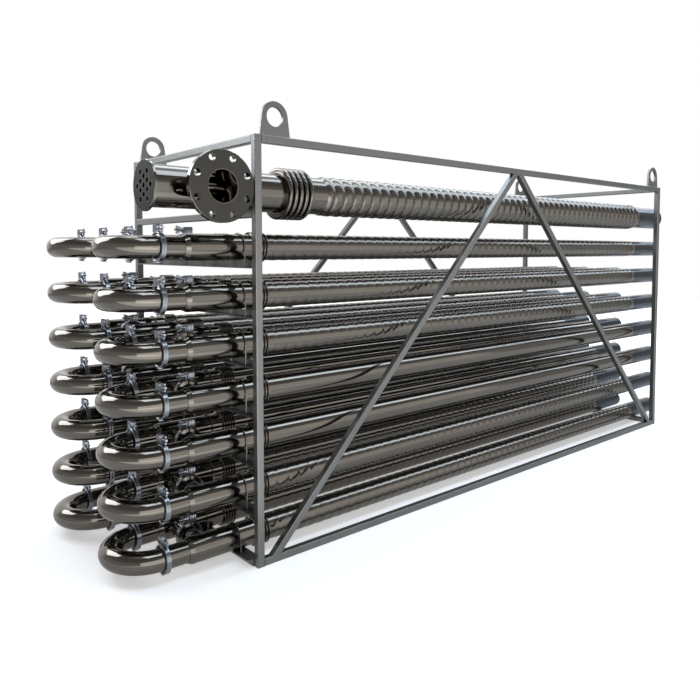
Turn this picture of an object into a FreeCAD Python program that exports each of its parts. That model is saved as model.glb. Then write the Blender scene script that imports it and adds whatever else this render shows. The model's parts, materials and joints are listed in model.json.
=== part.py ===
"""Tube-in-tube heat exchanger: four columns of straight tubes, seven levels high, in a welded frame.

Each product tube runs inside a wider jacket. Clamped return bends join the product tubes at the front,
and clamped crossovers join the jackets of two neighbouring columns. A multi-tube header with a flanged
side nozzle lies on a beam above the nearest column.

Millimetres. +X runs from the return bends to the open rear ends, +Y away from the nozzle's side, +Z up.
Everything is built with x = 0 on the frame's front plane, and moved to the part's origin at export: the
centre of the overall box in plan, on the floor.
"""
import FreeCAD
import Part
import math
import os

from FreeCAD import Vector

X_AXIS = Vector(1, 0, 0)
Y_AXIS = Vector(0, 1, 0)
Z_AXIS = Vector(0, 0, 1)
CENTRE = Vector(0, 0, 0)

# Frame of welded square tube
FRAME_LENGTH = 2740.0
FRAME_WIDTH = 920.0
TOP_CLEARANCE = 55.5
BEAM = 25.0
BEAM_WALL = 2.0
BEAM_CORNER = 3.0
BRACE_INSET = 55.0

# Bank of tubes
LEVELS = 7
COLUMNS = 4
LEVEL_PITCH = 160.0
COLUMN_PITCH = 220.0
REAR_REACH = 174.0

# Product tubes and their return bends, joined by ferrules
INNER_R = 35.0
INNER_WALL = 2.0
JOINT_REACH = 261.0
BEND_LEG = 6.0
FERRULE_R = 41.0
FERRULE_RIM = 3.0
FERRULE_LENGTH = 6.0

# Jackets: front section with closing cone, bellows, shell and end ring
JACKET_R = 42.5
JACKET_WALL = 2.0
CONE_REACH = 187.0
CONE_LENGTH = 14.0
CONE_LIP = 1.5
BELLOWS_X = 50.0
BELLOWS_COUNT = 5
BELLOWS_PITCH = 11.0
BELLOWS_CREST_R = 51.0
END_RING_LENGTH = 5.0

# Crossover between the jackets of two columns
CROSSOVER_REACH = 118.0
CROSSOVER_R = 30.0
CROSSOVER_WALL = 2.0

# Two-jaw pipe clamps, closed by a bolt and a wing nut
CLAMP_WIDTH = 15.0
CLAMP_THICKNESS = 5.0
CLAMP_SPLIT = 2.0
HINGE_HEIGHT = 4.0
EAR_WIDTH = 13.0
EAR_HEIGHT = 22.0
THIN_EAR = 6.0
BLOCK_EAR = 24.0
CLAMP_BOLT_R = 4.0
CLAMP_BOLT_END = 4.0
WING_LENGTH = 25.0
WING_ROOT = 12.0
WING_TIP = 28.0
WING_THICKNESS = 6.0

# Angles between the front posts, and the rod hoops that hold the jackets down on them
ANGLE_LEG = 25.0
ANGLE_THICKNESS = 4.0
HOOP_INSET = 12.5
HOOP_R = 2.5

# Header that crosses above the first column
HEADER_TUBE_R = 9.5
HEADER_TUBE_WALL = 1.2
HEADER_TUBE_PITCH = 27.0
HEADER_TUBE_ROOM = 1.7
HEADER_WALL = 2.0
HEADER_STEP = 4.5
HEADER_RISE = 117.5
HEADER_REACH = 303.0
SHEET_OVERHANG = 12.5
SHEET_THICKNESS = 8.0
SHEET_CHAMFER = 1.5
HEADER_LAP = 20.0

# Bellows and corrugated shell of the header
RING_X = 162.0
RING_COUNT = 5
RING_PITCH = 22.0
RING_WIDTH = 16.0
RING_CHAMFER = 4.0
RING_HEIGHT = 23.5
RING_ROOT_RISE = 2.5
CORRUGATION_X = 340.0
CORRUGATION_END = 110.0
CORRUGATION_COUNT = 51
CORRUGATION_DEPTH = 5.5
CREST_SHARE = 0.5

# Side nozzle and its drilled flange
NOZZLE_REACH = 112.0
NOZZLE_R = 52.0
NOZZLE_WALL = 2.0
NOZZLE_LIP = 1.5
BRANCH_ROOM = 1.0
FLANGE_R = 110.0
FLANGE_THICKNESS = 20.0
FLANGE_INSET = 2.0
FLANGE_CHAMFER = 1.5
BOLT_CIRCLE_R = 91.0
BOLT_HOLE_R = 11.0
BOLT_COUNT = 8

# Lifting lugs on the top rails
LUG_INSET = 80.0
LUG_BASE = 115.0
LUG_HOLE_RISE = 61.0
LUG_HOLE_R = 31.0
LUG_R = 49.0
LUG_THICKNESS = 10.0

# Room between pieces that slip over each other
FIT = 0.1

# Places that follow from the sizes above
SIDE = FRAME_WIDTH / 2
INSIDE = SIDE - BEAM
BOTTOM_Z = BEAM + JACKET_R
TOP_Z = BOTTOM_Z + (LEVELS - 1) * LEVEL_PITCH
TUBE_ROWS = math.sqrt(3) * HEADER_TUBE_PITCH
HEADER_REAR_R = TUBE_ROWS + HEADER_TUBE_R + HEADER_TUBE_ROOM + HEADER_WALL
HEADER_R = HEADER_REAR_R + HEADER_STEP
HEADER_BORE = HEADER_R - HEADER_WALL
SHEET_R = HEADER_R + SHEET_OVERHANG
RING_CREST_R = HEADER_R + RING_HEIGHT
RING_ROOT_R = HEADER_R + RING_ROOT_RISE
HEADER_BEAM_Z = TOP_Z + HEADER_RISE
HEADER_Z = HEADER_BEAM_Z + HEADER_R
FRAME_HEIGHT = HEADER_Z + RING_CREST_R + TOP_CLEARANCE + BEAM
COLUMN_Y = [(column - (COLUMNS - 1) / 2) * COLUMN_PITCH for column in range(COLUMNS)]
LEVEL_Z = [TOP_Z - level * LEVEL_PITCH for level in range(LEVELS)]
HEADER_AXIS = Vector(0, COLUMN_Y[0], HEADER_Z)
BEND_R = COLUMN_PITCH / 2
BEND_X = -JOINT_REACH - BEND_LEG
REAR_END = FRAME_LENGTH + REAR_REACH
FRONT_END = BEND_X - BEND_R - INNER_R
ORIGIN_X = (FRONT_END + REAR_END) / 2
JACKET_BORE = JACKET_R - JACKET_WALL
BELLOWS_END = BELLOWS_X + BELLOWS_COUNT * BELLOWS_PITCH
CLAMP_INNER_R = FERRULE_R + FIT
CLAMP_OUTER_R = CLAMP_INNER_R + CLAMP_THICKNESS
CLAMP_BOLT_Z = CLAMP_OUTER_R + EAR_HEIGHT / 2
HOOP_ARCH_R = JACKET_R + FIT + HOOP_R
RING_END = RING_X + RING_COUNT * RING_PITCH - (RING_PITCH - RING_WIDTH)
SHELL_END = FRAME_LENGTH - CORRUGATION_END


def export(name, shapes):
    """Write the solids of one node, moved from the frame's front plane to the part's origin."""
    moved = [shape.translated(Vector(-ORIGIN_X, 0, 0)) for shape in shapes]
    whole = moved[0] if len(moved) == 1 else Part.Compound(moved)
    whole.exportStep("parts/" + name + ".step")


def box(x, y, z):
    """A block between pairs of low and high coordinates."""
    return Part.makeBox(x[1] - x[0], y[1] - y[0], z[1] - z[0], Vector(x[0], y[0], z[0]))


def turned(section):
    """A solid of revolution about the X axis, from the (x, radius) corners of its section."""
    corners = [Vector(x, 0, radius) for x, radius in section]
    face = Part.Face(Part.makePolygon(corners + corners[:1]))
    return face.revolve(CENTRE, X_AXIS, 360)


def pipe(start, end, radius, wall):
    """A straight pipe along X."""
    bore = radius - wall
    return turned([(start, bore), (start, radius), (end, radius), (end, bore)])


def across(shape):
    """A shape built along X, turned to lie along -Y, with its -Y side towards -X."""
    return shape.rotated(CENTRE, Z_AXIS, -90)


def prism(corners, depth):
    """A plate from its (x, z) corners, centred on y = 0."""
    points = [Vector(x, -depth / 2, z) for x, z in corners]
    return Part.Face(Part.makePolygon(points + points[:1])).extrude(Vector(0, depth, 0))


def hexagon(centre, radius):
    """A six-sided face across the Y axis, with corners towards +X and -X."""
    turns = [math.pi / 3 * corner for corner in range(6)]
    points = [centre + Vector(math.cos(turn), 0, math.sin(turn)) * radius for turn in turns]
    return Part.Face(Part.makePolygon(points + points[:1]))


def octagon(centre, radius):
    """A level face with eight sides, the section of a rod with eight flats."""
    turns = [math.pi / 4 * (corner + 0.5) for corner in range(8)]
    points = [centre + Vector(math.cos(turn), math.sin(turn), 0) * radius for turn in turns]
    return Part.Face(Part.makePolygon(points + points[:1]))


def bank(shapes, z, columns=COLUMN_Y):
    """Copies of some shapes at one level, one set for each column."""
    return [shape.translated(Vector(0, y, z)) for y in columns for shape in shapes]


def rounded(bar, direction, radius):
    """A bar with the edges along its length rounded."""
    edges = [edge for edge in bar.Edges if edge.tangentAt(edge.FirstParameter).cross(direction).Length < FIT]
    return bar.makeFillet(radius, edges)


def square_tube(x, y, z, along):
    """A square tube that fills the block between its coordinates, open at both ends of one axis."""
    spans = [(low + BEAM_WALL, high - BEAM_WALL) for low, high in (x, y, z)]
    spans[along] = (x, y, z)[along]
    axis = (X_AXIS, Y_AXIS, Z_AXIS)[along]
    outside = rounded(box(x, y, z), axis, BEAM_CORNER)
    return outside.cut(rounded(box(*spans), axis, BEAM_CORNER - BEAM_WALL))


def brace_leg():
    """One leg of the side brace, from the bottom rail up to the middle of the top rail."""
    low, high = BEAM, FRAME_HEIGHT - BEAM
    rise, reach = high - low, FRAME_LENGTH / 2 - BRACE_INSET
    # The leg's level width, for which its square width comes out as BEAM
    a, b, c = rise**2 - BEAM**2, BEAM**2 * reach, BEAM**2 * (reach**2 + rise**2)
    width = (math.sqrt(b**2 + a * c) - b) / a
    wall = BEAM_WALL * width / BEAM
    slope = Vector(reach - width, 0, rise).normalize()

    def bar(inset, depth, corner):
        foot = (BRACE_INSET + inset, BRACE_INSET + width - inset)
        head = (FRAME_LENGTH / 2 - width + inset, FRAME_LENGTH / 2 - inset)
        plain = prism([(foot[0], low), (foot[1], low), (head[1], high), (head[0], high)], depth)
        return rounded(plain, slope, corner)

    return bar(0, BEAM, BEAM_CORNER).cut(bar(wall, BEAM - 2 * BEAM_WALL, BEAM_CORNER - BEAM_WALL))


def mirrored_length(shape):
    """A copy reflected from the frame's front half to its rear half."""
    return shape.mirror(Vector(FRAME_LENGTH / 2, 0, 0), X_AXIS)


def frame():
    """Posts, rails, beams, braces and lugs, each a node of its own."""
    ends = {"front": (0, BEAM), "rear": (FRAME_LENGTH - BEAM, FRAME_LENGTH)}
    sides = {"near": (-SIDE, -INSIDE), "far": (INSIDE, SIDE)}
    heights = {"bottom": (0, BEAM), "top": (FRAME_HEIGHT - BEAM, FRAME_HEIGHT)}
    for side, y in sides.items():
        for end, x in ends.items():
            export("post_" + end + "_" + side, [square_tube(x, y, (0, FRAME_HEIGHT), 2)])
        for height, z in heights.items():
            export(height + "_rail_" + side, [square_tube((BEAM, FRAME_LENGTH - BEAM), y, z, 0)])
        leg = brace_leg().translated(Vector(0, sum(y) / 2, 0))
        export("brace_front_" + side, [leg])
        export("brace_rear_" + side, [mirrored_length(leg)])
        lug = lifting_lug().translated(Vector(0, sum(y) / 2, 0))
        export("lifting_lugs_" + side, [lug, mirrored_length(lug)])
    for height, z in heights.items():
        for end, x in ends.items():
            export(height + "_beam_" + end, [square_tube(x, (-INSIDE, INSIDE), z, 1)])
    z = (HEADER_BEAM_Z - BEAM, HEADER_BEAM_Z)
    export("header_beam", [square_tube(ends["front"], (-INSIDE, INSIDE), z, 1)])


def lifting_lug():
    """An arched plate with a large eye, standing on the top rail."""
    eye = Vector(LUG_INSET, 0, FRAME_HEIGHT + LUG_HOLE_RISE)
    half = LUG_BASE / 2
    # The straight sides leave the base's corners and touch the round head
    lean = math.acos(LUG_R / math.hypot(half, LUG_HOLE_RISE)) - math.atan2(LUG_HOLE_RISE, half)
    across_head, above_eye = LUG_R * math.cos(lean), LUG_R * math.sin(lean)
    left = eye + Vector(-across_head, 0, above_eye)
    right = eye + Vector(across_head, 0, above_eye)
    top = eye + Vector(0, 0, LUG_R)
    foot = [Vector(LUG_INSET + side * half, 0, FRAME_HEIGHT) for side in (-1, 1)]
    outline = Part.Wire([
        Part.makeLine(foot[1], right),
        Part.Arc(right, top, left).toShape(),
        Part.makeLine(left, foot[0]),
        Part.makeLine(foot[0], foot[1]),
    ])
    hole = Part.Wire(Part.Circle(eye, Y_AXIS, LUG_HOLE_R).toShape())
    plate = Part.Face([outline, hole]).extrude(Vector(0, LUG_THICKNESS, 0))
    return plate.translated(Vector(0, -LUG_THICKNESS / 2, 0))


def hoop_legs():
    """Sideways places of the hoops' legs, from one end of an angle to the other."""
    return [y + side * HOOP_ARCH_R for y in COLUMN_Y for side in (-1, 1)]


def angle(corners, leg_x, flange_z):
    """An angle across the frame, its flange drilled for the hoops' legs."""
    bar = prism(corners, 2 * INSIDE)
    low = flange_z - ANGLE_THICKNESS
    through = Vector(0, 0, ANGLE_THICKNESS)
    holes = [octagon(Vector(leg_x, y, low), HOOP_R + FIT).extrude(through) for y in hoop_legs()]
    return bar.cut(Part.Compound(holes))


def hoop(x, reach):
    """A rod bent over the jacket, its legs reaching down from the tube's axis."""
    top = octagon(Vector(x, -HOOP_ARCH_R, 0), HOOP_R)
    leg = top.extrude(Vector(0, 0, -reach))
    arch = top.revolve(CENTRE, X_AXIS, -180)
    return arch.fuse([leg, leg.mirror(CENTRE, Y_AXIS)]).removeSplitter()


def supports():
    """The angles under each level, and the hoops that tie the jackets to them, flush below the flange."""
    t, leg = ANGLE_THICKNESS, ANGLE_LEG
    foot = t - leg
    upright = [(0, -leg), (BEAM, -leg), (BEAM, 0), (BEAM - t, 0), (BEAM - t, foot), (0, foot)]
    # The lowest angle stands before the bottom beam, with its flange on top
    hooded = [(-leg, 0), (0, 0), (0, -leg), (-t, -leg), (-t, -t), (-leg, -t)]
    raised = angle(upright, HOOP_INSET, foot)
    lowest = angle(hooded, -HOOP_INSET, 0)
    export("tube_supports", [raised.translated(Vector(0, 0, z - JACKET_R)) for z in LEVEL_Z[:-1]])
    export("bottom_tube_support", [lowest.translated(Vector(0, 0, BOTTOM_Z - JACKET_R))])
    hoops = [piece for z in LEVEL_Z[:-1] for piece in bank([hoop(HOOP_INSET, JACKET_R + leg)], z)]
    hoops += bank([hoop(-HOOP_INSET, JACKET_R + t)], BOTTOM_Z)
    export("tube_hoops", hoops)


def ferrule_section(face, away, radius, wall):
    """Section of a ferrule on a pipe's end: a rim at the joint, tapering back to the pipe."""
    rim, end = face + away * FERRULE_RIM, face + away * FERRULE_LENGTH
    return [(face, radius - wall), (face, FERRULE_R), (rim, FERRULE_R), (end, radius)]


def inner_tube():
    """A product tube with its ferrule at the front."""
    section = ferrule_section(-JOINT_REACH, 1, INNER_R, INNER_WALL)
    return turned(section + [(REAR_END, INNER_R), (REAR_END, INNER_R - INNER_WALL)])


def return_bend():
    """A half-turn pipe bend between two columns, with a ferrule on each end."""
    centre = Vector(BEND_X, 0, 0)
    start = Vector(BEND_X, -BEND_R, 0)
    rings = [Part.Wire(Part.Circle(start, X_AXIS, r).toShape()) for r in (INNER_R, INNER_R - INNER_WALL)]
    arc = Part.Face(rings).revolve(centre, Z_AXIS, -180)
    section = ferrule_section(-JOINT_REACH, -1, INNER_R, INNER_WALL)
    end = turned(section + [(BEND_X, INNER_R), (BEND_X, INNER_R - INNER_WALL)])
    legs = [end.translated(Vector(0, y, 0)) for y in (-BEND_R, BEND_R)]
    return arc.fuse(legs).removeSplitter()


def crossover_stub():
    """The outside and the bore of a jacket's side outlet, built along X from the jacket's axis."""
    reach = COLUMN_PITCH / 2
    inner = CROSSOVER_R - CROSSOVER_WALL
    section = ferrule_section(reach, -1, CROSSOVER_R, CROSSOVER_WALL)
    outside = turned([(0, 0), (reach, 0)] + section[1:] + [(0, CROSSOVER_R)])
    bore = turned([(0, 0), (reach, 0), (reach, inner), (0, inner)])
    return outside, bore


def jacket_front(side):
    """The front section of a jacket: closing cone, plain pipe and the crossover outlet on one side."""
    cone_end = -CONE_REACH + CONE_LENGTH
    seat = INNER_R + FIT
    body = turned([(-CONE_REACH, 0), (-CONE_REACH, seat + CONE_LIP), (cone_end, JACKET_R),
                   (BELLOWS_X, JACKET_R), (BELLOWS_X, 0)])
    hollow = turned([(-CONE_REACH, 0), (-CONE_REACH, seat), (-CONE_REACH + JACKET_WALL, seat),
                     (cone_end, JACKET_BORE), (BELLOWS_X, JACKET_BORE), (BELLOWS_X, 0)])
    outside, bore = [shape.rotated(CENTRE, Z_AXIS, 90 * side) for shape in crossover_stub()]
    place = Vector(-CROSSOVER_REACH, 0, 0)
    return body.fuse(outside.translated(place)).cut(hollow.fuse(bore.translated(place)))


def bellows():
    """A short bellows that takes up the jacket's stretch, with sharp folds."""
    section = [(BELLOWS_X, JACKET_BORE)]
    for fold in range(BELLOWS_COUNT):
        start = BELLOWS_X + fold * BELLOWS_PITCH
        section += [(start, JACKET_R), (start + BELLOWS_PITCH / 2, BELLOWS_CREST_R)]
    return turned(section + [(BELLOWS_END, JACKET_R), (BELLOWS_END, JACKET_BORE)])


def clamp():
    """Both jaws of a pipe clamp around the X axis, split by the plane y = 0, with ears on top."""
    ring = pipe(-CLAMP_WIDTH / 2, CLAMP_WIDTH / 2, CLAMP_OUTER_R, CLAMP_THICKNESS)
    low, high = CLAMP_OUTER_R - CLAMP_THICKNESS / 2, CLAMP_OUTER_R + EAR_HEIGHT
    hinge = (-CLAMP_OUTER_R - HINGE_HEIGHT, -low)
    half, slot = CLAMP_SPLIT / 2, CLAMP_BOLT_R + FIT
    ear_x = (-EAR_WIDTH / 2, EAR_WIDTH / 2)
    jaws = []
    for side, thickness in ((-1, THIN_EAR), (1, BLOCK_EAR)):
        split = side * half
        ear_y = sorted([split, split + side * thickness])
        hinge_y = sorted([split, split + side * THIN_EAR])
        other_y = sorted([split, -side * 2 * CLAMP_OUTER_R])
        other = box((-CLAMP_WIDTH, CLAMP_WIDTH), other_y, (-high, high))
        notch = box((-slot, slot), ear_y, (CLAMP_BOLT_Z - slot, high))
        lugs = [box(ear_x, ear_y, (low, high)), box(ear_x, hinge_y, hinge)]
        jaws.append(ring.cut(other).fuse(lugs).cut(notch))
    return jaws


def clamp_bolt():
    """The bolt of a pipe clamp, lying in the ears' slots. The bar has six flats."""
    start = -CLAMP_SPLIT / 2 - THIN_EAR - WING_LENGTH - CLAMP_BOLT_END
    end = CLAMP_SPLIT / 2 + BLOCK_EAR
    face = hexagon(Vector(0, start, CLAMP_BOLT_Z), CLAMP_BOLT_R)
    return face.extrude(Vector(0, end - start, 0))


def wing_nut():
    """A wing nut against the thin ear, its two wings spreading outwards."""
    start = -CLAMP_SPLIT / 2 - THIN_EAR
    centre = Vector(0, start, CLAMP_BOLT_Z)
    hub = hexagon(centre, WING_ROOT / 2).extrude(Vector(0, -WING_LENGTH / 2, 0))
    t = WING_THICKNESS / 2
    root, tip = WING_ROOT / 2, WING_TIP / 2
    corners = [(0, root), (-WING_LENGTH, tip), (-WING_LENGTH, -tip), (0, -root)]
    points = [centre + Vector(-t, y, z) for y, z in corners]
    wings = Part.Face(Part.makePolygon(points + points[:1])).extrude(Vector(2 * t, 0, 0))
    bore = hexagon(centre, CLAMP_BOLT_R + FIT).extrude(Vector(0, -WING_LENGTH, 0))
    return hub.fuse(wings).cut(bore)


def clamps():
    """Clamps on the return bends' joints and on the crossovers, all of one size."""
    joint = Vector(-JOINT_REACH, 0, 0)
    cross = Vector(-CROSSOVER_REACH, 0, 0)
    middles = [(COLUMN_Y[k] + COLUMN_Y[k + 1]) / 2 for k in range(0, COLUMNS - 1, 2)]
    pieces = {"clamp_bolts": [clamp_bolt()], "wing_nuts": [wing_nut()]}
    on_bends = {"bend_clamps": clamp(), **pieces}
    on_crossovers = {"crossover_clamps": clamp(), **pieces}
    nodes = {}
    for z in LEVEL_Z:
        for name, shapes in on_bends.items():
            placed = [shape.translated(joint) for shape in shapes]
            nodes.setdefault(name, []).extend(bank(placed, z))
        for name, shapes in on_crossovers.items():
            placed = [across(shape).translated(cross) for shape in shapes]
            nodes.setdefault(name, []).extend(bank(placed, z, middles))
    for name, shapes in nodes.items():
        export(name, shapes)


def tubes():
    """The bank of tubes: nodes for each level where their number allows, and shared nodes for like pieces."""
    bend = return_bend()
    fronts = [jacket_front(side) for side in (1, -1)]
    shell = pipe(BELLOWS_END, REAR_END, JACKET_R, JACKET_WALL)
    ring_start = REAR_END - END_RING_LENGTH
    ring = turned([(ring_start, INNER_R + FIT), (ring_start, JACKET_BORE - FIT),
                   (REAR_END, JACKET_BORE - FIT), (REAR_END, INNER_R + FIT)])
    pairs = [(COLUMN_Y[k] + COLUMN_Y[k + 1]) / 2 for k in range(0, COLUMNS - 1, 2)]
    for level, z in enumerate(LEVEL_Z, start=1):
        export("return_bends_" + str(level), bank([bend], z, pairs))
        sides = zip(fronts, (COLUMN_Y[::2], COLUMN_Y[1::2]))
        export("jacket_fronts_" + str(level), [one for front, y in sides for one in bank([front], z, y)])
        export("jacket_shells_" + str(level), bank([shell], z))
    export("inner_tubes", [tube for z in LEVEL_Z for tube in bank([inner_tube()], z)])
    export("jacket_bellows", [piece for z in LEVEL_Z for piece in bank([bellows()], z)])
    export("jacket_end_rings", [piece for z in LEVEL_Z for piece in bank([ring], z)])


def tube_pattern():
    """Places of the header's tubes about its axis: one in the middle and two rings of six."""
    places = [(0.0, 0.0)]
    for turn in range(6):
        for radius, start in ((HEADER_TUBE_PITCH, 30), (TUBE_ROWS, 0)):
            angle_of = math.radians(start + 60 * turn)
            places.append((radius * math.cos(angle_of), radius * math.sin(angle_of)))
    return places


def tube_sheet(start, radius, chamfer):
    """A drilled plate that carries the ends of the header's tubes."""
    end = start + SHEET_THICKNESS
    section = [(start, 0), (start, radius - chamfer), (start + chamfer, radius), (end, radius), (end, 0)]
    if chamfer == 0:
        section = [(start, 0), (start, radius), (end, radius), (end, 0)]
    hole = HEADER_TUBE_R + FIT
    places = [Vector(start, y, z) for y, z in tube_pattern()]
    drills = [Part.makeCylinder(hole, SHEET_THICKNESS, place, X_AXIS) for place in places]
    return turned(section).cut(Part.Compound(drills)).translated(HEADER_AXIS)


def header_front():
    """The header's front pipe with the side nozzle, from the tube sheet back to the bellows.

    The branch hole in the header's wall is cut a little wider than the nozzle's bore.
    """
    start = -HEADER_REACH + SHEET_THICKNESS
    run = HEADER_AXIS.y + SIDE - FLANGE_INSET + NOZZLE_LIP
    outside = turned([(start, 0), (start, HEADER_R), (RING_X, HEADER_R), (RING_X, 0)])
    hollow = turned([(start, 0), (start, HEADER_BORE), (RING_X, HEADER_BORE), (RING_X, 0)])
    foot = Vector(-NOZZLE_REACH, 0, 0)
    neck = Part.makeCylinder(NOZZLE_R, run, foot, -Y_AXIS)
    bore = Part.makeCylinder(NOZZLE_R - NOZZLE_WALL, run, foot, -Y_AXIS)
    branch = Part.makeCylinder(NOZZLE_R - NOZZLE_WALL + BRANCH_ROOM, HEADER_R, foot, -Y_AXIS)
    return outside.fuse(neck).cut(hollow.fuse([bore, branch])).translated(HEADER_AXIS)


def nozzle_flange():
    """A round flange with a ring of bolt holes on each side of its centre lines."""
    bore, rim = NOZZLE_R + FIT, FLANGE_R - FLANGE_CHAMFER
    t, c = FLANGE_THICKNESS, FLANGE_CHAMFER
    plate = turned([(0, bore), (0, rim), (c, FLANGE_R), (t - c, FLANGE_R), (t, rim), (t, bore)])
    holes = []
    for turn in range(BOLT_COUNT):
        angle_of = 2 * math.pi * (turn + 0.5) / BOLT_COUNT
        place = Vector(0, BOLT_CIRCLE_R * math.cos(angle_of), BOLT_CIRCLE_R * math.sin(angle_of))
        holes.append(Part.makeCylinder(BOLT_HOLE_R, t, place, X_AXIS))
    drilled = plate.cut(Part.Compound(holes)).rotated(CENTRE, Z_AXIS, 90)
    return drilled.translated(Vector(-NOZZLE_REACH, -SIDE + FLANGE_INSET, HEADER_Z))


def header_bellows():
    """A bellows of flat-sided rings with narrow grooves between them."""
    c = RING_CHAMFER
    section = [(RING_X, HEADER_BORE)]
    for ring in range(RING_COUNT):
        start = RING_X + ring * RING_PITCH
        end = start + RING_WIDTH
        section += [(start, RING_ROOT_R), (start, RING_CREST_R - c), (start + c, RING_CREST_R),
                    (end - c, RING_CREST_R), (end, RING_CREST_R - c), (end, RING_ROOT_R)]
    section.pop(1)
    section.pop(-1)
    return turned(section + [(RING_END, HEADER_BORE)]).translated(HEADER_AXIS)


def header_shell():
    """The header's corrugated shell: wide flat-topped ridges, and an end that closes on the rear pipe."""
    pitch = (SHELL_END - CORRUGATION_X) / CORRUGATION_COUNT
    slope = pitch * (1 - CREST_SHARE) / 2
    crest = HEADER_R + CORRUGATION_DEPTH
    section = [(RING_END, HEADER_BORE), (RING_END, HEADER_R), (CORRUGATION_X, HEADER_R)]
    for ridge in range(CORRUGATION_COUNT):
        start = CORRUGATION_X + ridge * pitch
        section += [(start + slope, crest), (start + pitch - slope, crest), (start + pitch, HEADER_R)]
    lip = HEADER_REAR_R + FIT
    section += [(SHELL_END, lip), (SHELL_END - HEADER_WALL, lip), (SHELL_END - HEADER_WALL, HEADER_BORE)]
    return turned(section).translated(HEADER_AXIS)


def header():
    """The header's pieces, from the front tube sheet to the rear one."""
    rear_bore = HEADER_REAR_R - HEADER_WALL
    tube = pipe(-HEADER_REACH, REAR_END, HEADER_TUBE_R, HEADER_TUBE_WALL)
    rear_pipe = pipe(SHELL_END - HEADER_LAP, REAR_END, HEADER_REAR_R, HEADER_WALL)
    export("header_front_tube_sheet", [tube_sheet(-HEADER_REACH, SHEET_R, SHEET_CHAMFER)])
    export("header_rear_tube_sheet", [tube_sheet(REAR_END - SHEET_THICKNESS, rear_bore - FIT, 0)])
    export("header_front_pipe", [header_front()])
    export("nozzle_flange", [nozzle_flange()])
    export("header_bellows", [header_bellows()])
    export("header_shell", [header_shell()])
    export("header_rear_pipe", [rear_pipe.translated(HEADER_AXIS)])
    export("header_tubes", [tube.translated(HEADER_AXIS + Vector(0, y, z)) for y, z in tube_pattern()])


os.makedirs("parts", exist_ok=True)
frame()
supports()
tubes()
clamps()
header()
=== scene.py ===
"""Looks of a tube-in-tube heat exchanger: stainless tubes with corrugated jackets in a ground steel frame.

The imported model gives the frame, the bends, the straight pipes and the plates, which keep their shape and
get their finish here. New surfaces replace what the solids hold plainly: the helical corrugation of the
jackets and the header, the round folds of the bellows, the clamps with their ribs, bolts and wing nuts, and
the round rods of the hoops. Sizes are in millimetres, turned into metres where a mesh is made.
+X runs along the tubes away from the return bends, -Y towards the nozzle's side, and +Z up.
"""

import json
import math

import bpy
import numpy as np
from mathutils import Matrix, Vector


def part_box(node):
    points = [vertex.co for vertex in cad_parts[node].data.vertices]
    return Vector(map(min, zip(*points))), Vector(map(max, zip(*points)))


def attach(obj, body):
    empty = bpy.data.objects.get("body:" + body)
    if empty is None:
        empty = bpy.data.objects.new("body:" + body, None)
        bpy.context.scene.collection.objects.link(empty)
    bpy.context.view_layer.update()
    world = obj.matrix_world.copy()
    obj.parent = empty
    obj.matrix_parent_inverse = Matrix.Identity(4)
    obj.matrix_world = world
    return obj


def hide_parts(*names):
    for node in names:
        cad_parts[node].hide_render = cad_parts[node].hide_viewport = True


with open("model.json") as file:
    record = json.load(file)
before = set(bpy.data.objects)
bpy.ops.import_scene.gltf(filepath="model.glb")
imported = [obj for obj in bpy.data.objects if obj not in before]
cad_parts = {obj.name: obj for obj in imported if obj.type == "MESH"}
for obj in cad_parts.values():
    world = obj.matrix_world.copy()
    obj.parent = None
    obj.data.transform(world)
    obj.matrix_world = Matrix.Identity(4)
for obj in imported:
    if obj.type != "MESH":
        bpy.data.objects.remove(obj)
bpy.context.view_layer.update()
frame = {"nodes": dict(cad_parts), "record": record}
MM = 0.001
TURN = 2 * math.pi


def in_mm(name):
    """A node's lowest and highest corner in millimetres."""
    return [np.array(corner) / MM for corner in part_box(name)]


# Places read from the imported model
LEVELS = range(1, 8)
LEVEL_Z = {level: sum(in_mm(f"jacket_shells_{level}"))[2] / 2 for level in LEVELS}
FRAME_FRONT = in_mm("post_front_near")[0][0]
FRAME_REAR = in_mm("post_rear_near")[1][0]
SHELL_START, SHELL_REAR = (corner[0] for corner in in_mm("jacket_shells_1"))

# Sizes that the solids are built to, repeated for the surfaces that replace them
COLUMNS = 4
COLUMN_PITCH = 220.0
JOINT_REACH = 261.0
CROSSOVER_REACH = 118.0
JACKET_R = 42.5
JACKET_WALL = 2.0
HEADER_WALL = 2.0
ANGLE_LEG = 25.0
ANGLE_THICKNESS = 4.0

# Places worked out from them
COLUMN_Y = [(column - (COLUMNS - 1) / 2) * COLUMN_PITCH for column in range(COLUMNS)]
CROSSOVER_Y = [-COLUMN_PITCH, COLUMN_PITCH]
JOINT_X = FRAME_FRONT - JOINT_REACH
CROSSOVER_X = FRAME_FRONT - CROSSOVER_REACH

# Light helical corrugation of the jackets, on the levels that the photograph shows with it
CORRUGATED_LEVELS = (1, 2, 3, 6, 7)
CORRUGATION_PITCH = 45.0
JACKET_RISE = 1.7
JACKET_ARCH = 3.5
JACKET_FADE = 25.0
SMOOTH_REAR = 110.0

# Bold helical corrugation of the header, and its first ridge's distance from the frame's front
HEADER_RISE = 5.5
HEADER_ARCH = 2.2
HEADER_FADE = 14.0
HEADER_FIRST = 340.0

# Bellows: round folds of thin sheet
FOLDS = 5
JACKET_FOLD_ROOT = 41.5
JACKET_FOLD_CREST = 51.0
JACKET_FOLD_FULLNESS = 0.8
HEADER_RING_WIDTH = 17.0
HEADER_RING_DEPTH = 22.0
HEADER_RING_SQUARENESS = 4
FOLD_SHARP_ANGLE = 75

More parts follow.
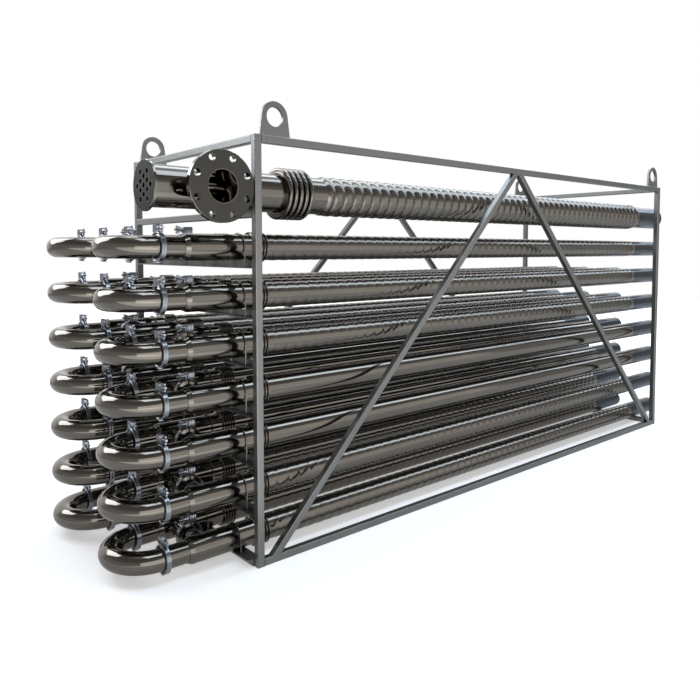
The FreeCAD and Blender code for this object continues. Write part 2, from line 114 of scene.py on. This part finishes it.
# Clamps: two jaws with ribbed ears above and hinge lugs below
JAW_HALF_WIDTH = 7.5
JAW_INNER_R = 41.1
JAW_THICKNESS = 5.0
JAW_SOFT = 1.2
JAW_GROOVE = 1.0
JAW_GAP = 1.0
EAR_HALF_WIDTH = 6.5
EAR_FOOT = 43.6
EAR_TOP = 68.1
EAR_SOFT = 2.0
EAR_GROOVE = 0.84
THIN_EAR = 6.0
BLOCK_EAR = 24.0
HINGE_LOWEST = -50.1
HINGE_SOFT = 2.0
HINGE_BEVEL = 1.0

# The clamps' bolts: their height, and how far they stand out of the block ear and of the wing nut
BOLT_Z = 57.1
BOLT_R = 4.0
BOLT_HEAD = 1.5
BOLT_END = 4.0

# Wing nuts: (distance from the ear, radius) of the hub, (distance, height above the bolt) of the upper wing
WING_REACH = 25.0
HUB_PROFILE = ((0, 7.0), (3, 7.0), (5, 6.0), (12, 5.2), (13, 4.4))
WING_OUTLINE = ((1, 1.5), (1, 6), (WING_REACH - 3, 14), (WING_REACH, 12), (WING_REACH, 7),
                (WING_REACH - 4, 4), (9, 1.5))
WING_HALF_THICKNESS = 2.6
WING_BEVEL = 0.9

# Hoops of round rod over the jackets
HOOP_R = 2.5
HOOP_ARCH_R = 45.1


def linear(colour):
    """An sRGB hex colour as linear RGBA: the standard curve, with its straight foot below 0.04."""
    parts = [int(colour[i:i + 2], 16) / 255 for i in (1, 3, 5)]
    return [p / 12.92 if p <= 0.04045 else ((p + 0.055) / 1.055) ** 2.4 for p in parts] + [1.0]


def node(tree, kind, inputs=None, **settings):
    """Adds a shader node with its settings, and sets or links its inputs.

    A node that is given as an input stands for its first output.
    """
    made = tree.nodes.new(kind)
    for name, value in settings.items():
        setattr(made, name, value)
    for socket, value in (inputs or {}).items():
        if isinstance(value, bpy.types.Node):
            value = value.outputs[0]
        if isinstance(value, bpy.types.NodeSocket):
            tree.links.new(value, made.inputs[socket])
        else:
            made.inputs[socket].default_value = value
    return made


# Bare stainless steel, which drifts between two warm greys
STAINLESS = ("#7a756e", "#6e6962")
# Edges cut on a lathe or with a drill: glossy, with a lighter colour that is partly a painted highlight; and
# how squarely a face must lie to count as a plate's flat face
CUT_AND_HIGHLIGHT_COLOUR, CUT_ROUGHNESS = STAINLESS[0], 0.1
FLAT_NORMAL = 0.9
# Between these values lies most of a noise pattern
NOISE_LOW, NOISE_HIGH = 0.3, 0.7


def steel(name, colours, roughness, grain, bump, tint_mm=180.0, flat_axis=None):
    """A bare metal: its colour drifts between two values over tint_mm, and grain changes gloss and relief.

    grain gives the size of the marks in millimetres along X, Y and Z, so that drawn tube has long marks.
    Real marks are a few tenths of a millimetre across at most, and are drawn as coarse as they need to show.
    A plate names the axis that its flat faces lie across: its rim, chamfers and holes then get the glossy
    finish of cut metal and a lighter colour, partly a painted highlight.
    """
    material = bpy.data.materials.new(name)
    material.use_nodes = True
    tree = material.node_tree
    shader = tree.nodes["Principled BSDF"]
    place = node(tree, "ShaderNodeTexCoord").outputs["Object"]
    drift = node(tree, "ShaderNodeTexNoise", {"Vector": place, "Scale": 1 / (tint_mm * MM), "Detail": 3.0})
    colour = node(tree, "ShaderNodeMix", {"Factor": drift, "A": linear(colours[0]), "B": linear(colours[1])},
                  data_type="RGBA").outputs["Result"]
    per_metre = [1 / (size * MM) for size in grain]
    stretched = node(tree, "ShaderNodeMapping", {"Vector": place, "Scale": per_metre})
    marks = node(tree, "ShaderNodeTexNoise", {"Vector": stretched, "Scale": 1.0, "Detail": 4.0,
                                              "Roughness": 0.6})
    dullness = node(tree, "ShaderNodeMapRange", {"Value": marks, "From Min": NOISE_LOW,
                                                 "From Max": NOISE_HIGH, "To Min": roughness[0],
                                                 "To Max": roughness[1]})
    relief = node(tree, "ShaderNodeBump", {"Height": marks, "Strength": 1.0, "Distance": bump * MM})
    if flat_axis:
        normal = node(tree, "ShaderNodeNewGeometry").outputs["True Normal"]
        along = node(tree, "ShaderNodeSeparateXYZ", {"Vector": normal}).outputs[flat_axis]
        squareness = node(tree, "ShaderNodeMath", {0: along}, operation="ABSOLUTE")
        # Rims, chamfers and holes: glossy cut metal, in a lighter colour that is partly a painted highlight
        flat = node(tree, "ShaderNodeMath", {0: squareness, 1: FLAT_NORMAL}, operation="GREATER_THAN")
        colour = node(tree, "ShaderNodeMix", {"Factor": flat, "A": linear(CUT_AND_HIGHLIGHT_COLOUR), "B": colour},
                      data_type="RGBA").outputs["Result"]
        dullness = node(tree, "ShaderNodeMapRange", {"Value": flat, "To Min": CUT_ROUGHNESS,
                                                     "To Max": dullness})
    tree.links.new(colour, shader.inputs["Base Color"])
    tree.links.new(dullness.outputs["Result"], shader.inputs["Roughness"])
    tree.links.new(relief.outputs["Normal"], shader.inputs["Normal"])
    shader.inputs["Metallic"].default_value = 1.0
    return material


# Bright drawn stainless tube: long faint drawing marks along its length, soft mirror reflections
TUBE = steel("drawn stainless tube", STAINLESS, (0.07, 0.13), (90, 1.5, 1.5), 0.01)
# Corrugated tube: the same steel, its mirror a little softened by the rolls
ROLLED = steel("rolled stainless corrugation", STAINLESS, (0.14, 0.24), (20, 2, 2), 0.02)
# The smooth rear ends of the tubes: the same steel in a darker, bluer colour, which is a painted reflection
PAINTED_REFLECTION_STEEL = steel("stainless with painted dark reflection", ("#474d53", "#3b4147"), (0.2, 0.3), (90, 1.5, 1.5), 0.01)
# Thin folded sheet of the bellows: the same steel, its faint marks running around the folds
FOLDED = steel("folded stainless sheet", STAINLESS, (0.08, 0.16), (1.5, 6, 6), 0.01)
# Stainless frame tube with a ground finish: dull, with fine even marks
FRAME_STEEL = steel("ground frame tube", ("#8a8a87", "#7b7c7b"), (0.3, 0.45), (3, 3, 3), 0.005)
# Cast and tumbled clamps: a bluish grey with small pits
CAST = steel("tumbled casting", ("#9a9fa6", "#888d94"), (0.18, 0.3), (1.2, 1.2, 1.2), 0.05, tint_mm=20.0)
# Zinc plated bolts and nuts: brighter and bluer than stainless
ZINC = steel("zinc plating", ("#abb0b7", "#9b9fa6"), (0.2, 0.3), (0.8, 0.8, 0.8), 0.02, tint_mm=15.0)
# The flange: faces turned on a lathe and left dull and dark, with a glossy rim and glossy holes in a lighter
# colour, partly a painted highlight
TURNED = steel("turned steel face", ("#504e49", "#45433f"), (0.38, 0.5), (2, 2, 2), 0.02, flat_axis="Y")
# The header's tube sheets: darker still, and duller
SHEET = steel("darker dull tube sheet", ("#2a2926", "#242320"), (0.45, 0.6), (3, 3, 3), 0.01, flat_axis="X")

SLOTS = {"frame_steel": FRAME_STEEL, "brushed_stainless": TUBE, "cast_stainless": CAST,
         "zinc_fasteners": ZINC, "machined_stainless": TURNED}
# Imported nodes whose finish isn't that of their slot
# The header's rear pipe takes the darker, bluer colour of a painted reflection
OWN_FINISH = {"header_front_tube_sheet": SHEET, "header_rear_tube_sheet": SHEET, "header_rear_pipe": PAINTED_REFLECTION_STEEL}


def piece(name, sheets, replaced, materials, sharp=40):
    """One mesh object from grids of points in millimetres, each closed in its second direction.

    A sheet is (points, material index): points[i, j] joins points[i + 1, j] and points[i, j + 1], and the
    last column joins the first. Its faces point outwards where the second direction, crossed with the
    first, does. Edges are sharp where their faces turn by more than the angle sharp, in degrees.
    """
    corners, faces, finishes = [], [], []
    start = 0
    for points, finish in sheets:
        rows, columns = points.shape[:2]
        index = start + np.arange(rows * columns).reshape(rows, columns)
        right = np.roll(index, -1, axis=1)
        faces.append(np.stack([index[:-1], right[:-1], right[1:], index[1:]], axis=-1).reshape(-1, 4))
        finishes.append(np.full(len(faces[-1]), finish))
        corners.append(points.reshape(-1, 3) * MM)
        start += rows * columns
    mesh = bpy.data.meshes.new(name)
    mesh.from_pydata(np.concatenate(corners).tolist(), [], np.concatenate(faces).tolist())
    for material in materials:
        mesh.materials.append(material)
    mesh.polygons.foreach_set("material_index", np.concatenate(finishes).astype(np.int32))
    mesh.polygons.foreach_set("use_smooth", np.ones(len(mesh.polygons), bool))
    mesh.set_sharp_from_angle(angle=math.radians(sharp))
    made = bpy.data.objects.new(name, mesh)
    bpy.context.scene.collection.objects.link(made)
    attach(made, "root")
    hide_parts(*replaced)
    return made


def turned(x, radius, y, z, around):
    """A surface of revolution about the X axis through (y, z), as a grid of points.

    The point at row i and angle a lies at (x[i], y - r sin a, z + r cos a). r is radius[i], or the row of a
    grid of radii that also change with a.
    """
    angle = TURN * np.arange(around) / around
    radius = np.broadcast_to(np.asarray(radius, float).reshape(len(x), -1), (len(x), around))
    along = np.broadcast_to(np.asarray(x, float)[:, None], radius.shape)
    return np.stack([along, y - radius * np.sin(angle), z + radius * np.cos(angle)], axis=-1)


def capped(rows):
    """A grid of loops closed at both ends by a point in the middle of the first and the last."""
    rows = np.asarray(rows, float)
    ends = [np.broadcast_to(loop.mean(axis=0), loop.shape)[None] for loop in (rows[0], rows[-1])]
    return np.concatenate([ends[0], rows, ends[1]])


def plate(outline, low, high, bevel):
    """A plate with bevelled edges, from its (y, z) outline, between two places along X.

    At both faces the outline shrinks towards its middle by the bevel.
    """
    outline = np.asarray(outline, float)
    middle = outline.mean(axis=0)
    reach = np.linalg.norm(outline - middle, axis=1, keepdims=True)
    inset = middle + (outline - middle) * (1 - bevel / reach)
    rows = [(low, inset), (low + bevel, outline), (high - bevel, outline), (high, inset)]
    return capped([np.column_stack([np.full(len(loop), x), loop]) for x, loop in rows])


def helical_ridges(x, around, start, end, arch, fade):
    """Height, from 0 to 1, of the ridges of a helical corrugation at each place x and angle a of a tube.

    Across one ridge, u runs from -1 to 1 with x / pitch + a / turn, and the height is 1 - |u| ^ arch: round
    ridges with a narrow groove between them. They grow from both ends of the stretch by a smooth step.
    """
    angle = np.arange(around) / around
    across = 2 * np.mod((x[:, None] - start) / CORRUGATION_PITCH + angle, 1) - 1
    ramp = np.clip(np.minimum(x - start, end - x) / fade, 0, 1)
    return (1 - np.abs(across) ** arch) * (ramp * ramp * (3 - 2 * ramp))[:, None]


def jacket_shells():
    """The jackets' shells: lightly corrugated along most of their length, smooth at the rear, where a darker,
    bluer colour is a painted reflection.

    The radius is that of the plain jacket, plus the rise times the ridges' height on a corrugated level.
    """
    around, per_pitch = 28, 10
    bore = JACKET_R - JACKET_WALL
    # The smooth rear ends and the bores take the darker, bluer colour of a painted reflection
    smooth_rear_start = FRAME_REAR - SMOOTH_REAR
    pitches = (smooth_rear_start - SHELL_START) / CORRUGATION_PITCH
    for level in LEVELS:
        corrugated = level in CORRUGATED_LEVELS
        x = np.linspace(SHELL_START, smooth_rear_start, int(pitches * per_pitch) if corrugated else 2)
        radius = np.full((len(x), around), JACKET_R)
        if corrugated:
            ridges = helical_ridges(x, around, SHELL_START, smooth_rear_start, JACKET_ARCH, JACKET_FADE)
            radius += JACKET_RISE * ridges
        sheets = []
        for y in COLUMN_Y:
            place = (y, LEVEL_Z[level], around)
            rear = turned([smooth_rear_start, SHELL_REAR, SHELL_REAR], [JACKET_R, JACKET_R, bore], *place)
            inside = turned([SHELL_REAR, SHELL_START], [bore, bore], *place)
            sheets.extend([(turned(x, radius, *place), 0), (rear, 1), (inside, 1)])
        piece(f"corrugated_shells_{level}", sheets, [f"jacket_shells_{level}"],
              [ROLLED if corrugated else TUBE, PAINTED_REFLECTION_STEEL])


def header_shell():
    """The header's shell: a plain end, then bold helical ridges with narrow grooves between them.

    The radius is that of the plain end, plus the rise times the ridges' height.
    """
    low, high = in_mm("header_shell")
    y, z = ((low + high) / 2)[1:]
    base = (high - low)[2] / 2 - HEADER_RISE
    start = FRAME_FRONT + HEADER_FIRST
    around, per_pitch = 56, 16
    x = np.linspace(start, high[0], int((high[0] - start) / CORRUGATION_PITCH * per_pitch))
    radius = base + HEADER_RISE * helical_ridges(x, around, start, high[0], HEADER_ARCH, HEADER_FADE)
    plain = turned([low[0], start], [base, base], y, z, around)
    lip = turned([high[0], high[0]], [base, base - 2 * HEADER_WALL], y, z, around)
    inside = turned([high[0], low[0]], [base - HEADER_WALL] * 2, y, z, around)
    sheets = [(plain, 0), (turned(x, radius, y, z, around), 1), (lip, 0), (inside, 0)]
    piece("corrugated_header", sheets, ["header_shell"], [TUBE, ROLLED])


def jacket_folds():
    """The jackets' bellows: folds of a raised cosine, widened at the crests by a power below one."""
    low, high = in_mm("jacket_bellows")
    around, per_fold = 32, 10
    steps = np.linspace(0, FOLDS, FOLDS * per_fold + 1)
    x = low[0] + steps / FOLDS * (high[0] - low[0])
    rise = (0.5 - 0.5 * np.cos(TURN * steps)) ** JACKET_FOLD_FULLNESS
    radius = JACKET_FOLD_ROOT + (JACKET_FOLD_CREST - JACKET_FOLD_ROOT) * rise
    sheets = [(turned(x, radius, y, z, around), 0) for z in LEVEL_Z.values() for y in COLUMN_Y]
    piece("jacket_folds", sheets, ["jacket_bellows"], [FOLDED], FOLD_SHARP_ANGLE)


def header_folds():
    """The header's bellows: rings of a rounded section with deep grooves between them.

    Across one ring, u runs from -1 to 1, and the radius is root + depth * sqrt(1 - u ^ squareness), which is
    half a superellipse.
    """
    low, high = in_mm("header_bellows")
    y, z = ((low + high) / 2)[1:]
    root = (high - low)[2] / 2 - HEADER_RING_DEPTH
    around, per_ring = 64, 14
    pitch = (high[0] - low[0] - HEADER_RING_WIDTH) / (FOLDS - 1)
    across = -np.cos(np.linspace(0, math.pi, per_ring))
    section = root + HEADER_RING_DEPTH * np.sqrt(1 - np.abs(across) ** HEADER_RING_SQUARENESS)
    middles = low[0] + HEADER_RING_WIDTH / 2 + pitch * np.arange(FOLDS)
    rings = middles[:, None] + across * HEADER_RING_WIDTH / 2
    x = np.concatenate([low[:1], rings.ravel(), high[:1]])
    radius = np.concatenate([[root], np.tile(section, FOLDS), [root]])
    piece("header_folds", [(turned(x, radius, y, z, around), 0)], ["header_bellows"],
          [FOLDED], FOLD_SHARP_ANGLE)


def jaw(start, end):
    """A jaw of a clamp around the X axis, between two angles: a band with a groove around its middle.

    The point of its section at x and radius r, turned by an angle a, lies at (x, -r sin a, r cos a).
    """
    half, inner, outer = JAW_HALF_WIDTH, JAW_INNER_R, JAW_INNER_R + JAW_THICKNESS
    soft, groove = JAW_SOFT, JAW_GROOVE
    x, radius = np.transpose([
        (-half + soft, inner), (half - soft, inner), (half, inner + soft), (half, outer - soft),
        (half - soft, outer), (2 * groove, outer), (groove, outer - groove), (-groove, outer - groove),
        (-2 * groove, outer), (-half + soft, outer), (-half, outer - soft), (-half, inner + soft)])
    steps = 16
    angle = np.linspace(start, end, steps)[:, None]
    along = np.broadcast_to(x, (steps, len(x)))
    return capped(np.stack([along, -radius * np.sin(angle), radius * np.cos(angle)], axis=-1))


def ear(start, end, ribs):
    """An ear of a clamp along Y: a block with bevelled top corners, its sides cut into upright ribs.

    Its (x, z) outline stands at even steps, at its full size on a rib and shrunk towards its middle in a
    groove.
    """
    half, foot, top, soft = EAR_HALF_WIDTH, EAR_FOOT, EAR_TOP, EAR_SOFT
    outline = np.array([(half, foot), (-half, foot), (-half, top - soft), (-half + soft, top),
                        (half - soft, top), (half, top - soft)])
    middle = np.array([0, (foot + top) / 2])
    y = np.linspace(start, end, 4 * ribs + 1)
    in_groove = np.isin(np.arange(len(y)) % 4, (0, 3))
    loops = middle + (outline - middle) * np.where(in_groove, EAR_GROOVE, 1.0)[:, None, None]
    along = np.broadcast_to(y[:, None], loops.shape[:2])
    return capped(np.stack([loops[..., 0], along, loops[..., 1]], axis=-1))


def hinge(side):
    """The hinge lug under a jaw, on one side of the gap: a plate with its lower corners cut."""
    low, high, soft = HINGE_LOWEST, -EAR_FOOT, HINGE_SOFT
    y0, y1 = (JAW_GAP, JAW_GAP + THIN_EAR) if side > 0 else (-JAW_GAP - THIN_EAR, -JAW_GAP)
    outline = [(y0, low + soft), (y0 + soft, low), (y1 - soft, low), (y1, low + soft), (y1, high), (y0, high)]
    return plate(outline, -EAR_HALF_WIDTH, EAR_HALF_WIDTH, HINGE_BEVEL)


def clamp():
    """Both jaws of a clamp around the X axis, with their ears and hinge lugs."""
    gap = JAW_GAP / JAW_INNER_R
    block = ear(JAW_GAP, JAW_GAP + BLOCK_EAR, ribs=4)
    thin = ear(-JAW_GAP - THIN_EAR, -JAW_GAP, ribs=1)
    return [jaw(gap, math.pi - gap), jaw(math.pi + gap, TURN - gap), block, thin, hinge(-1), hinge(1)]


def rod(path, radius, around=10):
    """A round rod along a path in a plane across X.

    The point at step i and angle a lies at path[i] + radius * (cos a * side + sin a * X), where side is the
    path's direction crossed with X.
    """
    path = np.asarray(path, float)
    along = np.gradient(path, axis=0)
    along /= np.linalg.norm(along, axis=1, keepdims=True)
    side = np.cross(along, [1.0, 0.0, 0.0])
    angle = TURN * np.arange(around)[None, :, None] / around
    loops = path[:, None] + radius * (np.cos(angle) * side[:, None] + np.sin(angle) * np.array([1.0, 0, 0]))
    return capped(loops[:, ::-1])


def wing_nut():
    """A wing nut against the thin ear: a round hub, and two wings that spread away from it.

    The hub's profile, as distance from the ear and radius, is turned about the bolt's axis.
    """
    start = -JAW_GAP - THIN_EAR
    around = 14
    distance, radius = np.transpose(HUB_PROFILE)[..., None]
    turn = TURN * np.arange(around) / around
    along = np.broadcast_to(start - distance, (len(distance), around))
    hub = np.stack([radius * np.cos(turn), along, BOLT_Z + radius * np.sin(turn)], axis=-1)
    wings = []
    for side in (-1, 1):
        outline = np.array(WING_OUTLINE) * [-1, side] + [start, BOLT_Z]
        wings.append(plate(outline[::side], -WING_HALF_THICKNESS, WING_HALF_THICKNESS, WING_BEVEL))
    return [capped(hub)] + wings


def clamp_bolt():
    """The bolt of a clamp, from outside the block ear to past the wing nut."""
    start = JAW_GAP + BLOCK_EAR + BOLT_HEAD
    end = -JAW_GAP - THIN_EAR - WING_REACH - BOLT_END
    return [rod([(0, start, BOLT_Z), (0, end, BOLT_Z)], BOLT_R, around=12)]


def moved(sheets, place, across=False):
    """Sheets moved to a place, and turned first to lie along -Y where they are on a crossover."""
    if across:
        sheets = [np.stack([s[..., 1], -s[..., 0], s[..., 2]], axis=-1) for s in sheets]
    return [(s + np.array(place, float), 0) for s in sheets]


def clamps():
    """The clamps on the bends' joints and on the crossovers, their bolts and their wing nuts."""
    joints = [(JOINT_X, y, z) for z in LEVEL_Z.values() for y in COLUMN_Y]
    crossings = [(CROSSOVER_X, y, z) for z in LEVEL_Z.values() for y in CROSSOVER_Y]

    def placed(sheets, places, across):
        return [sheet for place in places for sheet in moved(sheets, place, across)]

    piece("ribbed_bend_clamps", placed(clamp(), joints, False), ["bend_clamps"], [CAST])
    piece("ribbed_crossover_clamps", placed(clamp(), crossings, True), ["crossover_clamps"],
          [CAST])
    for name, made, replaced in (("winged_nuts", wing_nut(), "wing_nuts"),
                                 ("round_clamp_bolts", clamp_bolt(), "clamp_bolts")):
        sheets = placed(made, joints, False) + placed(made, crossings, True)
        piece(name, sheets, [replaced], [ZINC])


def hoops():
    """The hoops of round rod over the jackets, with their legs in the angles' holes.

    The path is a half circle of the arch's radius around the jacket, with a straight leg down at each end.
    The lowest angle stands further forward with its flange on top, so its hoops do too, on shorter legs.
    """
    low, high = in_mm("tube_hoops")
    arch_steps = 25
    turn = np.linspace(0, math.pi, arch_steps)
    sheets = []
    for level, z in LEVEL_Z.items():
        lowest = level == LEVELS[-1]
        x = low[0] + HOOP_R if lowest else high[0] - HOOP_R
        foot = -JACKET_R - (ANGLE_THICKNESS if lowest else ANGLE_LEG)
        across = HOOP_ARCH_R * np.concatenate([[-1], -np.cos(turn), [1]])
        height = np.concatenate([[foot], HOOP_ARCH_R * np.sin(turn), [foot]])
        hoop = rod(np.column_stack([np.full(len(across), x), across, height]), HOOP_R)
        sheets.extend((hoop + np.array([0, y, z]), 0) for y in COLUMN_Y)
    piece("round_hoops", sheets, ["tube_hoops"], [TUBE])


def finish_nodes():
    """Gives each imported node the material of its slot, or its own finish."""
    for part in frame["record"]["subparts"]:
        mesh = frame["nodes"][part["node"]].data
        mesh.materials.clear()
        mesh.materials.append(OWN_FINISH.get(part["node"], SLOTS[part["material_slot"]]))


# The studio: a white backdrop beyond the part, turned a little from the camera's direction towards the bends,
# and grey levels around it. A level is (height, from 0 straight down to 1 straight up, brightness).
BACKDROP = (0.47, 0.88, 0.0)
BACKDROP_REACH = (0.35, 0.6)
ROOM = ((0.0, 0.6), (0.45, 0.48), (0.63, 0.48), (0.75, 0.32), (0.853, 0.22), (0.953, 0.22), (1.0, 0.8))

# The floor: its half width in metres, its colour for light and for the camera, and its glow between two
# distances from the part's middle
FLOOR_HALF = 12.0
FLOOR_COLOUR, FLOOR_COLOUR_SHOWN = 0.45, 0.8
FLOOR_REACH, FLOOR_GLOW = (2.5, 6.0), (0.42, 1.0)
# Its glow in metal and through glass: outside and inside a patch, which fades between two places each way
MIRROR_GLOW = (0.3, 1.3)
PATCH_X, PATCH_Y = (-0.9, -0.3), (-1.1, -0.8)

# Softboxes: name, place, turn about X in degrees, size, radiance and colour
COOL, NEUTRAL, WARM = (0.72, 0.85, 1.0), (0.88, 0.93, 1.0), (1.0, 0.98, 0.95)
LAMPS = (
    ("near strip", (2.55, -1.2, 3.6), 0, (9.3, 1.3), 4.0, COOL),
    ("ceiling", (2.55, -0.05, 3.6), 0, (8.9, 1.0), 0.9, COOL),
    ("far strip", (2.55, 0.94, 3.6), 0, (8.9, 1.0), 4.0, COOL),
    ("end softbox", (-2.8, 2.3, 2.8), -50, (2.2, 2.0), 5.2, NEUTRAL),
    ("low panel", (-1.95, -2.45, 0.66), 90, (2.5, 1.3), 1.4, WARM),
    ("side panel", (1.3, -2.9, 0.95), 90, (4.0, 2.0), 0.6, WARM),
)


def room():
    """The world: grey levels by height, and a white backdrop on one side.

    Only the rays that show the background see the backdrop: from the camera, in metal and through glass.
    """
    world = bpy.data.worlds.new("studio")
    bpy.context.scene.world = world
    world.use_nodes = True
    tree = world.node_tree
    direction = node(tree, "ShaderNodeTexCoord").outputs["Generated"]
    height = node(tree, "ShaderNodeSeparateXYZ", {"Vector": direction}).outputs["Z"]
    share = node(tree, "ShaderNodeMapRange", {"Value": height, "From Min": -1.0})
    ramp = node(tree, "ShaderNodeValToRGB", {"Fac": share})
    elements = ramp.color_ramp.elements
    for element, (position, value) in zip(elements, (ROOM[0], ROOM[-1])):
        element.position, element.color = position, (value,) * 3 + (1,)
    for position, value in ROOM[1:-1]:
        elements.new(position).color = (value,) * 3 + (1,)
    facing = node(tree, "ShaderNodeVectorMath", {0: direction, 1: BACKDROP}, operation="DOT_PRODUCT")
    within = node(tree, "ShaderNodeMapRange", {"Value": facing.outputs["Value"],
                                               "From Min": BACKDROP_REACH[0], "From Max": BACKDROP_REACH[1]})
    ray = node(tree, "ShaderNodeLightPath").outputs
    shown = node(tree, "ShaderNodeMath", {0: ray["Is Camera Ray"], 1: ray["Is Glossy Ray"]},
                 operation="MAXIMUM")
    shown = node(tree, "ShaderNodeMath", {0: shown, 1: ray["Is Transmission Ray"]}, operation="MAXIMUM")
    white = node(tree, "ShaderNodeMath", {0: within, 1: shown}, operation="MULTIPLY")
    tone = node(tree, "ShaderNodeMix", {"Factor": white, "A": ramp, "B": (1, 1, 1, 1)}, data_type="RGBA")
    tree.links.new(tone.outputs["Result"], tree.nodes["Background"].inputs["Color"])


def floor():
    """A white floor that keeps the object's shadow.

    The camera sees it glow more the further it is away, so that it ends in the white of the backdrop. In
    metal and through glass it is grey, with a lit patch before the bends on the nozzle's side.
    """
    mesh = bpy.data.meshes.new("floor")
    corners = [(x * FLOOR_HALF, y * FLOOR_HALF, 0) for x, y in ((-1, -1), (1, -1), (1, 1), (-1, 1))]
    mesh.from_pydata(corners, [], [(0, 1, 2, 3)])
    made = bpy.data.objects.new("floor", mesh)
    bpy.context.scene.collection.objects.link(made)
    material = bpy.data.materials.new("white studio floor")
    material.use_nodes = True
    tree = material.node_tree
    shader = tree.nodes["Principled BSDF"]
    ray = node(tree, "ShaderNodeLightPath").outputs
    place = node(tree, "ShaderNodeTexCoord").outputs["Object"]
    axes = node(tree, "ShaderNodeSeparateXYZ", {"Vector": place}).outputs

    distance = node(tree, "ShaderNodeVectorMath", {0: place}, operation="LENGTH").outputs["Value"]
    glow = node(tree, "ShaderNodeMapRange", {"Value": distance, "From Min": FLOOR_REACH[0],
                                             "From Max": FLOOR_REACH[1], "To Min": FLOOR_GLOW[0],
                                             "To Max": FLOOR_GLOW[1]})
    seen = node(tree, "ShaderNodeMath", {0: ray["Is Camera Ray"], 1: glow}, operation="MULTIPLY")

    in_x = node(tree, "ShaderNodeMapRange", {"Value": axes["X"], "From Min": PATCH_X[0],
                                             "From Max": PATCH_X[1], "To Min": 1.0, "To Max": 0.0})
    in_y = node(tree, "ShaderNodeMapRange", {"Value": axes["Y"], "From Min": PATCH_Y[0],
                                             "From Max": PATCH_Y[1], "To Min": 1.0, "To Max": 0.0})
    patch = node(tree, "ShaderNodeMath", {0: in_x, 1: in_y}, operation="MULTIPLY")
    patch_glow = node(tree, "ShaderNodeMapRange", {"Value": patch, "To Min": MIRROR_GLOW[0],
                                                   "To Max": MIRROR_GLOW[1]})
    in_mirrors = node(tree, "ShaderNodeMath", {0: ray["Is Glossy Ray"], 1: ray["Is Transmission Ray"]},
                      operation="MAXIMUM")
    mirrored = node(tree, "ShaderNodeMath", {0: in_mirrors, 1: patch_glow}, operation="MULTIPLY")

    strength = node(tree, "ShaderNodeMath", {0: seen, 1: mirrored}, operation="ADD")
    colour = node(tree, "ShaderNodeMapRange", {"Value": ray["Is Camera Ray"], "To Min": FLOOR_COLOUR,
                                               "To Max": FLOOR_COLOUR_SHOWN})
    tree.links.new(colour.outputs["Result"], shader.inputs["Base Color"])
    tree.links.new(strength.outputs["Value"], shader.inputs["Emission Strength"])
    shader.inputs["Emission Color"].default_value = (1, 1, 1, 1)
    shader.inputs["Roughness"].default_value = 0.6
    shader.inputs["Specular IOR Level"].default_value = 0.0
    mesh.materials.append(material)


def lamps():
    """Softboxes: three strips along the tubes overhead, one past the bends, two on the nozzle's side.

    A lamp's power is its radiance times pi times its area.
    """
    for name, place, tilt, size, radiance, colour in LAMPS:
        light = bpy.data.lights.new(name, "AREA")
        light.shape = "RECTANGLE"
        light.size, light.size_y = size
        light.color = colour
        light.energy = math.pi * size[0] * size[1] * radiance
        lamp = bpy.data.objects.new(name, light)
        lamp.location = place
        lamp.rotation_euler = (math.radians(tilt), 0, 0)
        bpy.context.scene.collection.objects.link(lamp)


# The camera of the photograph: its place, turn, focal length and centre, as fitted to the frame
IMAGE_PX = 700
FOCAL_PX = 671.70
CENTRE_PX = (358.69, 287.87)
CAMERA_PLACE = (FRAME_FRONT * MM - 1.1395, -2.2467, 1.0174)
CAMERA_YAW = 48.78
CAMERA_PITCH = 3.20


def camera():
    """Places the camera, with its lens and shift from the sizes in pixels."""
    data = bpy.data.cameras.new("photograph")
    data.lens = FOCAL_PX / IMAGE_PX * data.sensor_width
    data.shift_x = (IMAGE_PX / 2 - CENTRE_PX[0]) / IMAGE_PX
    data.shift_y = (CENTRE_PX[1] - IMAGE_PX / 2) / IMAGE_PX
    eye = bpy.data.objects.new("photograph", data)
    eye.location = CAMERA_PLACE
    eye.rotation_euler = (math.radians(90 - CAMERA_PITCH), 0, math.radians(CAMERA_YAW - 90))
    bpy.context.scene.collection.objects.link(eye)
    bpy.context.scene.camera = eye


finish_nodes()
jacket_shells()
header_shell()
jacket_folds()
header_folds()
clamps()
hoops()
room()
floor()
lamps()
camera()
bpy.context.scene.view_settings.view_transform = "Standard"
